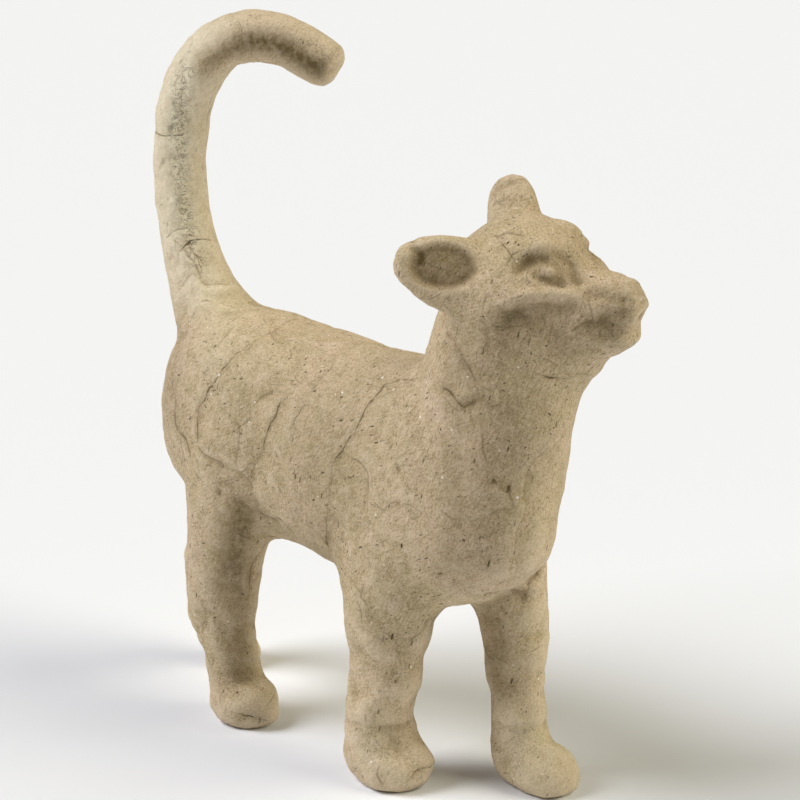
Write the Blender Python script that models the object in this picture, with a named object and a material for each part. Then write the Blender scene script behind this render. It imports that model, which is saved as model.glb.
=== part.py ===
"""A papier-mache cat, walking, with its tail hooked forward over its back.

The figure is one moulded piece. It is built the way a modeller would build it: tapered
forms are lofted along curved lines, fused into one skin, and then pressed and pinched
into the face, the paws and the folds. Lengths are in metres, +Z is up, the cat looks
towards -Y and its left side is towards +X.
"""

import math

import bmesh
import bpy
import numpy as np
from mathutils import Matrix, Vector

# Driving sizes of the real figure.
HEIGHT = 0.114  # floor to the top of the tail
BACK_HEIGHT = 0.067  # floor to the level back
BELLY_HEIGHT = 0.0315  # floor to the belly, which is also the length of a leg
BODY_LENGTH = 0.0745  # rump to chest
BODY_WIDTH = 0.0265  # across the ribs
LEG_WIDTH = 0.0095  # across a shank
STANCE = 0.015  # left leg to right leg, across the body
STRIDE = 0.015  # how far one leg of a pair steps ahead of the other
TAIL_WIDTH = 0.0087
HEAD_LENGTH = 0.0340  # back of the skull to the nose
EAR_WIDTH = 0.0118  # across the right ear at its root
EAR_THICKNESS = 0.0050

# How the head is carried, in degrees.
HEAD_TURN = 15.0  # to the cat's left
HEAD_LIFT = 8.0  # nose up
HEAD_TILT = 8.0  # right ear down

# Grain of the modelling: the skin is fused at this spacing, then rounded off, and its
# creases are filled this many times.
BODY_SKIN = {"spacing": 0.0006, "rounding": 6, "filling": 60}
FACE_SKIN = {"spacing": 0.00045, "rounding": 4, "filling": 12}
RING_SIDES = 56
END_RINGS = 4  # rings in the dome that closes a limb
DOME_REACH = 0.8  # height of that dome, as a share of the limb's half thickness
FACET_COUNT = 9000  # triangles kept in the finished solid
HEAD_SHARE = 0.85  # how freely the head loses facets, where the body's share is 1
DETAIL_PULL = 0.01  # how strongly those shares tell
SOLE_SNAP = 0.00025  # points this near the floor are set on it before the soles are cut

# The two ears differ, as pressed by hand: root, tip and the way it opens, as forward,
# left and up on the head, then its width, its thickness, and how strongly it narrows.
EAR_SHAPES = [
    (
        (-0.09, -0.20, 0.16),
        (-0.35, -0.36, 0.33),
        (0.60, -0.75, 0.10),
        EAR_WIDTH,
        EAR_THICKNESS,
        1.0,
    ),
    (
        (-0.07, 0.19, 0.24),
        (-0.09, 0.27, 0.43),
        (0.50, 0.78, -0.36),
        0.92 * EAR_WIDTH,
        1.30 * EAR_THICKNESS,
        0.5,
    ),
]

# Lines pressed into each side of the face: points as forward, out from the middle and
# up, in shares of the head's length, then the width and depth of the line in metres.
FACE_LINES = [
    # Eye socket, from its outer corner over the eye and down beside the nose.
    (
        [
            (0.15, 0.22, 0.21),
            (0.20, 0.20, 0.26),
            (0.26, 0.16, 0.26),
            (0.31, 0.10, 0.23),
            (0.34, 0.08, 0.18),
            (0.35, 0.10, 0.12),
        ],
        0.0012,
        0.0009,
    ),
    # Lower lid.
    ([(0.18, 0.25, 0.15), (0.25, 0.23, 0.14), (0.31, 0.17, 0.13)], 0.0009, 0.0005),
    # Mouth, from its corner to the middle of the lip.
    (
        [(0.39, 0.13, -0.07), (0.45, 0.11, -0.05), (0.50, 0.09, -0.04), (0.57, 0.0, -0.07)],
        0.0009,
        0.0007,
    ),
]
# Hollows pressed into each side of the face: the middle of the hollow, its half length
# forward, how much it closes in on the way, its half height, and its depth in metres.
FACE_HOLLOWS = [
    ((0.185, 0.275, 0.02), (0.15, 0.06, 0.075), 0.0010),  # under the cheekbone
    ((0.455, 0.12, -0.115), (0.08, 0.035, 0.06), 0.0006),  # under the lip
]

KRAFT_PAPER = (0.45, 0.36, 0.23, 1.0)


def place(forward, left, up):
    """A point from distances ahead of the body's middle, to its left, and above the floor."""
    return Vector((left, -forward, up))


def curve_through(rows, steps):
    """Rows of numbers joined by a smooth Catmull-Rom curve, with steps points to a span."""
    knots = np.array(rows, float)
    first = 2 * knots[0] - knots[1]
    last = 2 * knots[-1] - knots[-2]
    padded = np.vstack([first, knots, last])
    share = np.linspace(0, 1, steps, endpoint=False)[:, None]
    spans = []
    for before, start, end, after in zip(padded, padded[1:], padded[2:], padded[3:]):
        bend = 2 * before - 5 * start + 4 * end - after
        twist = 3 * start - before - 3 * end + after
        spans.append(start + 0.5 * share * (end - before + share * (bend + share * twist)))
    return np.vstack(spans + [knots[-1:]])


def section(form, placement, fullness):
    """One closed cross-section: a circle, squared off where fullness is over 2, then placed."""
    circle = bmesh.ops.create_circle(form, segments=RING_SIDES, radius=1.0)["verts"]
    for vert in circle:
        reach = abs(vert.co.x) ** fullness + abs(vert.co.y) ** fullness
        vert.co *= reach ** (-1 / fullness)
    bmesh.ops.transform(form, matrix=placement, verts=circle)
    return list(dict.fromkeys(edge for vert in circle for edge in vert.link_edges))


def loft(form, stations, across=Vector((1, 0, 0)), fullness=2.0, dome_reach=DOME_REACH):
    """Adds to form a closed tapered limb with rounded ends.

    Each station is a centre, a half width along across, and a half depth square to it.
    """
    rows = curve_through([[*centre, wide, deep] for centre, wide, deep in stations], 5)
    headings = np.gradient(rows[:, :3], axis=0)
    headings /= np.linalg.norm(headings, axis=1)[:, None]
    rings = [(at, 0.0, 1.0) for at in range(len(rows))]
    angles = np.linspace(0, math.pi / 2, END_RINGS + 2)[1:-1]
    dome = [(dome_reach * math.sin(angle), math.cos(angle)) for angle in angles]
    rings = [(0, -reach, share) for reach, share in reversed(dome)] + rings
    rings += [(len(rows) - 1, reach, share) for reach, share in dome]
    loops = []
    for at, reach, share in rings:
        wide, deep = rows[at, 3:]
        heading = Vector(headings[at])
        side = (across - across.dot(heading) * heading).normalized()
        centre = Vector(rows[at, :3]) + heading * reach * min(wide, deep)
        turned = Matrix((side * wide * share, heading.cross(side) * deep * share, heading))
        placement = Matrix.Translation(centre) @ turned.transposed().to_4x4()
        loops.append(section(form, placement, fullness))
    for lower, upper in zip(loops, loops[1:]):
        bmesh.ops.bridge_loops(form, edges=lower + upper)
    for end in (loops[0], loops[-1]):
        bmesh.ops.contextual_create(form, geom=end)


def lump(form, centre, radii, turn=Matrix.Identity(3)):
    """Adds an egg-shaped lump: a centre, three half sizes, and how it is turned."""
    matrix = Matrix.Translation(centre) @ turn.to_4x4() @ Matrix.Diagonal((*radii, 1.0))
    bmesh.ops.create_uvsphere(form, u_segments=24, v_segments=16, radius=1.0, matrix=matrix)


def torso(form):
    """The level barrel of the body, deepest at the chest."""
    half_width = BODY_WIDTH / 2
    half_depth = (BACK_HEIGHT - BELLY_HEIGHT) / 2
    middle = (BACK_HEIGHT + BELLY_HEIGHT) / 2
    # Share of the length ahead of the middle, rise of the middle as a share of the
    # half depth, and shares of the half width and half depth.
    shape = [
        (-0.485, 0.08, 0.46, 0.52),
        (-0.450, 0.06, 0.73, 0.78),
        (-0.37, 0.04, 0.92, 0.93),
        (-0.25, 0.02, 1.00, 0.98),
        (-0.10, 0.00, 0.96, 0.97),
        (0.04, -0.04, 0.98, 1.00),
        (0.18, -0.07, 1.00, 1.04),
        (0.30, -0.04, 0.98, 1.05),
        (0.38, 0.00, 0.88, 0.98),
        (0.44, 0.05, 0.66, 0.82),
        (0.475, 0.10, 0.44, 0.60),
    ]
    loft(
        form,
        [
            (
                place(BODY_LENGTH * along, 0, middle + rise * half_depth),
                wide * half_width,
                deep * half_depth,
            )
            for along, rise, wide, deep in shape
        ],
        fullness=2.35,
    )


def neck(form):
    """The thick neck, from inside the chest up to the head."""
    base = place(0.33 * BODY_LENGTH, 0, 0.66 * BACK_HEIGHT)
    rise = head_frame()[0] - base
    half_width = 0.41 * BODY_WIDTH
    # Share of the rise, forward bow as a share of the body's length, and shares of the
    # half width across and fore-aft.
    shape = [
        (0.00, 0.02, 1.10, 1.34),
        (0.35, 0.01, 1.04, 1.24),
        (0.65, 0.012, 0.98, 1.16),
        (0.95, 0.004, 0.92, 1.08),
    ]
    loft(
        form,
        [
            (
                base + rise * up + place(ahead * BODY_LENGTH, 0, 0),
                wide * half_width,
                deep * half_width,
            )
            for up, ahead, wide, deep in shape
        ],
    )


def foreleg(form, forward, side, thick, slope, reach):
    """A straight foreleg that slopes from its paw, with a soft wrist and a round paw."""
    half = thick * LEG_WIDTH / 2
    length = BELLY_HEIGHT
    # Lean ahead of the paw and height, as shares of the leg's length, then shares of
    # the half thickness across and fore-aft.
    shape = [
        (-0.06, 1.50, 1.05, 1.60),
        (-0.05, 1.16, 1.15, 1.58),
        (-0.04, 0.92, 1.16, 1.42),
        (-0.03, 0.72, 1.02, 1.20),
        (-0.04, 0.48, 0.95, 1.03),
        (-0.06, 0.26, 1.00, 1.02),
        (-0.03, 0.12, 1.08, 1.08),
    ]
    loft(
        form,
        [
            (
                place(forward + (lean + slope * (up - 0.26)) * length, side, up * length),
                wide * half,
                deep * half,
            )
            for lean, up, wide, deep in shape
        ],
    )
    paw(form, forward, side, half, reach)


def hindleg(form, forward, side, thick, slope, reach):
    """A hind leg: deep thigh, hock standing out behind, upright shank and long paw."""
    half = thick * LEG_WIDTH / 2
    length = BELLY_HEIGHT
    shape = [
        (-0.01, 1.55, 1.30, 2.05),
        (-0.07, 1.22, 1.32, 1.80),
        (-0.13, 0.92, 1.20, 1.42),
        (-0.155, 0.66, 1.10, 1.38),
        (-0.165, 0.53, 1.04, 1.34),
        (-0.11, 0.38, 0.92, 0.98),
        (-0.08, 0.22, 0.96, 0.96),
        (-0.03, 0.10, 1.04, 1.06),
    ]
    loft(
        form,
        [
            (
                place(forward + (lean + slope * (up - 0.10)) * length, side, up * length),
                wide * half,
                deep * half,
            )
            for lean, up, wide, deep in shape
        ],
    )
    paw(form, forward, side, half, reach)


def paw(form, forward, side, half, reach):
    """A blunt paw that reaches ahead of the shank and sinks a little below the floor line."""
    centre = place(forward + reach * half, side, 0.62 * half)
    lump(form, centre, (1.10 * half, 1.30 * half, 0.98 * half))


def tail(form):
    """The tail: up from the rump, leaning back, then hooked forward and to the left."""
    half = TAIL_WIDTH / 2
    rise = HEIGHT - BACK_HEIGHT
    root = -0.51 * BODY_LENGTH
    swing = math.radians(20)
    # Distance ahead of the tail's upright and height above the back, as shares of the
    # tail's rise, then the share of its half thickness.
    shape = [
        (0.32, -0.28, 2.00),
        (0.18, -0.10, 1.60),
        (0.09, 0.03, 1.24),
        (0.03, 0.16, 1.06),
        (-0.01, 0.34, 0.99),
        (-0.01, 0.52, 0.98),
        (0.02, 0.68, 0.98),
        (0.09, 0.815, 0.98),
        (0.21, 0.900, 0.98),
        (0.36, 0.915, 0.96),
        (0.48, 0.875, 0.94),
        (0.572, 0.832, 0.90),
    ]
    loft(
        form,
        [
            (
                place(
                    root + ahead * rise * math.cos(swing),
                    ahead * rise * math.sin(swing) * (up > 0.2),
                    BACK_HEIGHT + up * rise,
                ),
                thick * half,
                thick * half,
            )
            for ahead, up, thick in shape
        ],
        dome_reach=0.3,
    )


def head_frame():
    """The head's own frame: where the skull's middle is, and how it is turned."""
    at = place(0.46 * BODY_LENGTH, 0.02 * BODY_LENGTH, BACK_HEIGHT + 0.38 * HEAD_LENGTH)
    turned = (
        Matrix.Rotation(math.radians(HEAD_TURN), 3, "Z")
        @ Matrix.Rotation(math.radians(-HEAD_LIFT), 3, "X")
        @ Matrix.Rotation(math.radians(-HEAD_TILT), 3, "Y")
    )
    return at, turned


def head_point(forward, left, up):
    """A point on the head in world space, from shares of the head's length."""
    at, turned = head_frame()
    return at + turned @ (place(forward, left, up) * HEAD_LENGTH)


def head_lump(form, centre, radii):
    """An egg-shaped lump on the head; radii are across, fore-aft and up, as shares."""
    _, turned = head_frame()
    lump(form, head_point(*centre), Vector(radii) * HEAD_LENGTH, turned)


def skull(form):
    """The round of the skull, the jaw, and a deep blunt muzzle."""
    _, turned = head_frame()
    head_lump(form, (0.035, 0, 0.02), (0.325, 0.35, 0.345))
    head_lump(form, (0.12, 0, -0.22), (0.25, 0.26, 0.20))
    # Forward, up, half width and half height, all as shares of the head's length.
    muzzle = [
        (0.05, -0.06, 0.28, 0.29),
        (0.22, -0.06, 0.220, 0.250),
        (0.36, -0.065, 0.165, 0.212),
        (0.45, -0.050, 0.140, 0.184),
        (0.495, -0.032, 0.112, 0.150),
    ]
    loft(
        form,
        [
            (head_point(ahead, 0, up), wide * HEAD_LENGTH, deep * HEAD_LENGTH)
            for ahead, up, wide, deep in muzzle
        ],
        across=turned @ Vector((1, 0, 0)),
        fullness=2.4,
    )


def face(form):
    """Brows, eyes and cheekbones, laid on the skull like pellets and rolls of pulp."""
    for side in (-1, 1):
        head_lump(form, (0.175, side * 0.100, 0.232), (0.100, 0.125, 0.080))
        head_lump(form, (0.265, side * 0.165, 0.185), (0.044, 0.046, 0.042))
        # Forward, out, up and half thickness, as shares of the head's length.
        cheekbone = [
            (0.04, 0.255, 0.090, 0.045),
            (0.14, 0.255, 0.105, 0.046),
            (0.20, 0.232, 0.110, 0.044),
            (0.26, 0.195, 0.102, 0.040),
            (0.32, 0.150, 0.080, 0.036),
            (0.37, 0.120, 0.055, 0.030),
        ]
        loft(
            form,
            [
                (head_point(ahead, side * out, up), half * HEAD_LENGTH, half * HEAD_LENGTH)
                for ahead, out, up, half in cheekbone
            ],
        )


def ear_frame(root, tip, facing):
    """An ear's root in world space, and its directions: along, across and out of its cup."""
    _, turned = head_frame()
    start = head_point(*root)
    along = head_point(*tip) - start
    across = along.cross(turned @ place(*facing)).normalized()
    return start, along, across, across.cross(along).normalized()


def ear(form, root, tip, facing, width, thick, narrowing):
    """A blunt ear from its root to its tip, all on the head; facing is where it opens."""
    start, along, across, _ = ear_frame(root, tip, facing)
    # Share of the ear's length, and shares of its half width and half thickness.
    shape = [
        (-0.10, 1.02, 1.20),
        (0.25, 0.98, 1.00),
        (0.55, 0.86, 0.90),
        (0.78, 0.68, 0.82),
        (0.90, 0.48, 0.66),
    ]
    loft(
        form,
        [
            (start + along * share, wide**narrowing * width / 2, deep * thick / 2)
            for share, wide, deep in shape
        ],
        across=across,
    )


def ears(form):
    """The right ear lies out and back as a broad cup, the left one stands up as a stub."""
    for shape in EAR_SHAPES:
        ear(form, *shape)


def worked(mesh, add_modifiers):
    """A new mesh: the old one as its modifiers leave it."""
    shape = bpy.data.objects.new("worked", mesh)
    bpy.context.collection.objects.link(shape)
    add_modifiers(shape)
    evaluated = shape.evaluated_get(bpy.context.evaluated_depsgraph_get())
    result = bpy.data.meshes.new_from_object(evaluated)
    bpy.data.objects.remove(shape)
    bpy.data.meshes.remove(mesh)
    return result


def round_off(shape, times):
    """Softens every edge a little."""
    rounding = shape.modifiers.new("rounding", "SMOOTH")
    rounding.factor = 0.5
    rounding.iterations = times


def fused(form, grain):
    """One skin round all the forms, with its edges rounded off and its creases filled."""

    def skin_over(shape):
        skin = shape.modifiers.new("skin", "REMESH")
        skin.mode = "VOXEL"
        skin.voxel_size = grain["spacing"]
        round_off(shape, grain["rounding"])

    rough = bpy.data.meshes.new("rough")
    form.to_mesh(rough)
    form.free()
    mesh = worked(rough, skin_over)
    fill_creases(mesh, grain["filling"])
    return mesh


def outward_directions(points, triangles):
    """Unit normals of the points of a closed skin."""
    corners = points[triangles]
    facing = np.cross(corners[:, 1] - corners[:, 0], corners[:, 2] - corners[:, 0])
    total = np.zeros_like(points)
    for axis in range(3):
        for corner in range(3):
            total[:, axis] += np.bincount(
                triangles[:, corner], weights=facing[:, axis], minlength=len(points)
            )
    return total / np.linalg.norm(total, axis=1)[:, None]


def skin_arrays(mesh):
    """The points, edges and triangles of a mesh as arrays."""
    mesh.calc_loop_triangles()
    points = np.empty(len(mesh.vertices) * 3)
    edges = np.empty(len(mesh.edges) * 2, int)
    triangles = np.empty(len(mesh.loop_triangles) * 3, int)
    mesh.vertices.foreach_get("co", points)
    mesh.edges.foreach_get("vertices", edges)
    mesh.loop_triangles.foreach_get("vertices", triangles)
    return points.reshape(-1, 3), edges.reshape(-1, 2), triangles.reshape(-1, 3)


def fill_creases(mesh, rounds):
    """Fills the creases between forms as wet pulp does, and leaves raised parts alone.

    Each point moves out towards the mean of its neighbours, never in.
    """
    points, edges, triangles = skin_arrays(mesh)
    near = np.concatenate([edges[:, 0], edges[:, 1]])
    far = np.concatenate([edges[:, 1], edges[:, 0]])
    count = np.bincount(near, minlength=len(points))
    for _ in range(rounds):
        normals = outward_directions(points, triangles)
        mean = np.stack(
            [
                np.bincount(near, weights=points[far, axis], minlength=len(points)) / count
                for axis in range(3)
            ],
            axis=1,
        )
        outwards = np.einsum("ij,ij->i", mean - points, normals)
        sideways = mean - points - outwards[:, None] * normals
        points = points + np.maximum(outwards, 0)[:, None] * normals + 0.3 * sideways
    mesh.vertices.foreach_set("co", points.ravel())


def press_line(points, normals, rows, width, depth):
    """Presses a soft line along a curve into the skin."""
    line = curve_through(rows, 8)
    from_middle = np.linalg.norm(points - line.mean(axis=0), axis=1)
    close = np.flatnonzero(from_middle < HEAD_LENGTH)
    gap = np.linalg.norm(points[close, None] - line[None], axis=2).min(axis=1)
    points[close] -= normals[close] * (depth * np.exp(-((gap / width) ** 2)))[:, None]


def press_dish(points, normals, centre, along, across, depth):
    """Presses an oval dish into the side of the skin that faces along x across."""
    offset = points - centre
    out = np.cross(along, across)
    out /= np.linalg.norm(out)
    reach = (offset @ along / (along @ along)) ** 2 + (offset @ across / (across @ across)) ** 2
    facing = np.clip(normals @ out * 2, 0, 1)
    near = np.abs(offset @ out) < np.linalg.norm(across)
    amount = depth * np.clip(1 - reach, 0, 1) ** 1.5 * facing * near
    points -= out * amount[:, None]


def model_face(points, normals):
    """Presses the eye sockets, the mouth, and the hollows under cheekbone and lip."""
    for side in (-1, 1):
        for rows, width, depth in FACE_LINES:
            line = [head_point(ahead, side * out, up) for ahead, out, up in rows]
            press_line(points, normals, line, width, depth)
        for (ahead, out, up), (fore, taper, rise), depth in FACE_HOLLOWS:
            centre = head_point(ahead, side * out, up)
            along = head_point(ahead + fore, side * (out - taper), up) - centre
            across = head_point(ahead, side * out, up + rise) - centre
            press_dish(
                points, normals, np.array(centre), np.array(along), np.array(across) * -side, depth
            )


def hollow_ears(points, normals):
    """Presses the cup of each ear."""
    for root, tip, facing, width, thick, _ in EAR_SHAPES:
        start, along, across, out = (np.array(v) for v in ear_frame(root, tip, facing))
        centre = start + 0.42 * along + 0.5 * thick * out
        press_dish(
            points, normals, centre, 0.46 * along, 0.38 * width * across, 0.42 * thick
        )


def modelled(mesh):
    """Works the face and the ears into the fused skin."""
    points, _, triangles = skin_arrays(mesh)
    for work in (hollow_ears, model_face):
        work(points, outward_directions(points, triangles))
    mesh.vertices.foreach_set("co", points.ravel())


def reduced(mesh):
    """The skin with fewer facets, kept where the form bends most and on the head."""
    mesh.calc_loop_triangles()
    share_kept = FACET_COUNT / len(mesh.loop_triangles)
    head_at, _ = head_frame()

    def thin_out(shape):
        plain = shape.vertex_groups.new(name="plain")
        for vert in mesh.vertices:
            gap = (vert.co - head_at).length / HEAD_LENGTH
            plain.add([vert.index], min(1.0, max(HEAD_SHARE, gap - 0.3)), "REPLACE")
        round_off(shape, 4)
        fewer = shape.modifiers.new("fewer", "DECIMATE")
        fewer.ratio = share_kept
        fewer.vertex_group = plain.name
        fewer.vertex_group_factor = DETAIL_PULL

    return worked(mesh, thin_out)


def stood_on_floor(mesh):
    """Cuts the four soles flat at floor level and sets the origin under the middle."""
    form = bmesh.new()
    form.from_mesh(mesh)
    for vert in form.verts:
        if abs(vert.co.z) < SOLE_SNAP:
            vert.co.z = 0.0
    geometry = form.verts[:] + form.edges[:] + form.faces[:]
    bmesh.ops.bisect_plane(
        form, geom=geometry, plane_co=(0, 0, 0), plane_no=(0, 0, -1), clear_outer=True
    )
    rims = [edge for edge in form.edges if edge.is_boundary]
    bmesh.ops.holes_fill(form, edges=rims, sides=0)
    for edge in rims:
        edge.smooth = False
    xs = [vert.co.x for vert in form.verts]
    ys = [vert.co.y for vert in form.verts]
    shift = Vector(((min(xs) + max(xs)) / 2, (min(ys) + max(ys)) / 2, 0))
    bmesh.ops.translate(form, verts=form.verts, vec=-shift)
    bmesh.ops.recalc_face_normals(form, faces=form.faces)
    for facet in form.faces:
        facet.smooth = True
    form.to_mesh(mesh)
    form.free()


def paper_material():
    """Bare recycled kraft paper: light brown and quite matt."""
    material = bpy.data.materials.new("kraft_paper")
    material.use_nodes = True
    shader = material.node_tree.nodes["Principled BSDF"]
    shader.inputs["Base Color"].default_value = KRAFT_PAPER
    shader.inputs["Roughness"].default_value = 0.9
    shader.inputs["Metallic"].default_value = 0.0
    return material


def legs(form):
    """Four legs at a walk: the right fore and left hind legs trail, the others lead."""
    half_stance, half_stride = STANCE / 2, STRIDE / 2
    shoulder, hip = 0.315 * BODY_LENGTH, -0.33 * BODY_LENGTH
    foreleg(form, shoulder + 1.1 * half_stride, half_stance, 0.96, -0.13, 0.75)
    foreleg(form, shoulder - half_stride, -half_stance, 1.12, 0.08, 0.12)
    hindleg(form, hip - 1.4 * half_stride, half_stance, 0.80, 0.24, -0.25)
    hindleg(form, hip + half_stride, -half_stance, 1.00, 0.00, 0.10)


def main():
    for old in list(bpy.data.objects):
        bpy.data.objects.remove(old)
    form = bmesh.new()
    torso(form)
    neck(form)
    legs(form)
    tail(form)
    skull(form)
    trunk = fused(form, BODY_SKIN)
    form = bmesh.new()
    form.from_mesh(trunk)
    bpy.data.meshes.remove(trunk)
    face(form)
    ears(form)
    mesh = fused(form, FACE_SKIN)
    modelled(mesh)
    mesh = reduced(mesh)
    stood_on_floor(mesh)
    mesh.materials.clear()
    mesh.materials.append(paper_material())
    bpy.context.collection.objects.link(bpy.data.objects.new("cat", mesh))


main()
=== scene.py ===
"""A papier-mache cat figurine, dressed for the camera.

The CAD cat is one moulded solid. Its paper skin is made here from a copy of that solid:
an even mesh, rounded off, then raised and pressed into the soft lumps, torn paper edges,
seams and pits of pulp laid on by hand. Lengths are in millimetres unless a comment says so.
"""

import math

import bmesh
import bpy
import numpy as np
from mathutils import Matrix, Vector


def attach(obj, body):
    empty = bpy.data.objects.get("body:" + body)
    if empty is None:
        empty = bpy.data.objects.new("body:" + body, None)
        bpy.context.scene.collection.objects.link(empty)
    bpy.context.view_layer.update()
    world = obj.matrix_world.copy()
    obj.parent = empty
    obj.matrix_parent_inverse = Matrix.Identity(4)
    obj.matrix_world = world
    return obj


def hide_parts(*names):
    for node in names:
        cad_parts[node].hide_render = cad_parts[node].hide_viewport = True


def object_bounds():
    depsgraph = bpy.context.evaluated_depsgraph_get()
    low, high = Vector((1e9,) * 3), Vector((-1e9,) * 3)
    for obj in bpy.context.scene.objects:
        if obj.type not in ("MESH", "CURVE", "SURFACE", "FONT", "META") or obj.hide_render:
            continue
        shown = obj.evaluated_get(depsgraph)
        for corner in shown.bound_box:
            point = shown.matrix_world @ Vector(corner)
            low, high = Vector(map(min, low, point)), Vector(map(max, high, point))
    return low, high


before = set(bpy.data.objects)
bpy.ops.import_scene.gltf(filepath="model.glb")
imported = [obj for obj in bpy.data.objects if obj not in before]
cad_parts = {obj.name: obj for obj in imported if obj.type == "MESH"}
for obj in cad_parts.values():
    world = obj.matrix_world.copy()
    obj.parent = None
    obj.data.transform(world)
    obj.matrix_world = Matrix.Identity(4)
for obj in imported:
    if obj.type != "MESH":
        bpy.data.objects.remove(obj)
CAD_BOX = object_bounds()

MM = 0.001

SKIN_SPACING = 0.64  # between neighbouring points of the skin, and half that on the head
ROUNDING = 12  # rounds of smoothing that take the facets off
PAPER_PATCHES = 80  # pieces of torn paper laid over the figure
PAPER_STEP = 0.07  # how far the edge of one piece stands over the next

WAVER = 0.24  # how far a drawn line wavers
LINE_REACH = 5.0  # how far from a line its groove and the step beside it are worked out
STEP_EDGE, STEP_FADE = 0.3, 4.0  # where the step is nearly full, and where it has faded out
SHADE_SPREAD = 1.5  # half width of a line's shade, in half widths of the line
STREAK_REACH = 2.5  # how far a streak or a crumple is worked out, in its half widths
CRUMPLE_SIZE, CRUMPLE_DEPTH = 2.2, 0.18
PIT_SHADE = 1.2  # how dark the painted shade in a pit is, on the scale of the other painted light and shade
FAR_FROM_LINES = 9.0  # the distance that points away from every drawn line are given

# Lumps left by the hands and grain of the pulp: wavelength, height on the body, and how much
# taller they are on the legs.
LUMPS = {
    "palm": (9.0, 0.30, 0.10),
    "finger": (4.2, 0.16, 0.34),
    "clot": (2.1, 0.11, 0.09),
    "grain": (1.2, 0.07, 0.0),
}
LEG_TOP = (36.0, 26.0)  # heights between which the skin turns from the body's to the legs'
SOLE = (0.2, 1.2)  # heights between which the flat soles turn into the lumpy legs
FOLD_SIZE, FOLD_PATCH, FOLD_DEPTH = 3.4, 7.0, 0.10
OVERLAP_EDGE, OVERLAP_FADE = 0.35, (6.0, 1.0)
ROOM_TO_RAISE = 0.8  # the skin is raised less where the solid's box is nearer than this
HOLLOW_ROUNDS = 8  # rounds of averaging that a hollow is measured against

# Dark fibres: how each layer is turned, the size of a cell in millimetres, the greatest
# thickness in cells, and the greatest darkness.
FIBRES = [
    ((0.2, 0.1, 0.0), (0.9, 0.9, 3.2), 0.20, 0.90),
    ((1.2, 0.3, 0.0), (0.9, 0.9, 2.8), 0.18, 0.85),
    ((0.5, 1.1, 0.8), (0.8, 0.8, 2.2), 0.18, 0.75),
    ((2.5, 0.4, 1.9), (2.0, 2.0, 5.0), 0.10, 0.90),
]
LEAST_DARK_FIBRE = 0.35  # the darkness of the palest ones

# Soft lights far off: the bearing in the picture, 0 behind the camera and 90 at the right, the
# height, both in degrees, the strength and the colour.
LIGHTS = {
    "left_softbox": (-88.0, 48.0, 2.70, (1.0, 0.99, 0.985)),
    "right_softbox": (74.0, 46.0, 1.50, (1.0, 0.945, 0.74)),
    "low_right_softbox": (100.0, 10.0, 0.80, (1.0, 0.945, 0.72)),
    "front_softbox": (-8.0, 14.0, 0.16, (1.0, 0.93, 0.68)),
}
LIGHT_SPREAD = 36.0  # how wide each of them looks, in degrees
SURROUND = 0.03  # the strength of the light from everywhere else

# The camera: the place that it looks at, the way from there to it, how far off it stands, all in
# metres, and its lens.
CAMERA_AIM = (-0.00125, -0.00822, 0.0605)
CAMERA_WAY = (-0.6733, -0.6733, 0.3057)
CAMERA_DISTANCE = 0.455
CAMERA_LENS = 135.2
FLOOR_HALF = 4.0  # half the floor's width, in metres

HEAD_MIDDLE = (2.8, -28.7, 79.9)
HEAD_LENGTH = 34.0
HEAD_REACH = 24.0  # the part round the head's middle that gets the finer skin
HEAD_CORE, HEAD_CALM = 14.0, 0.55  # the part where lumps are lower, and by what share
HEAD_TURN, HEAD_LIFT, HEAD_TILT = 15.0, 8.0, 8.0
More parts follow.
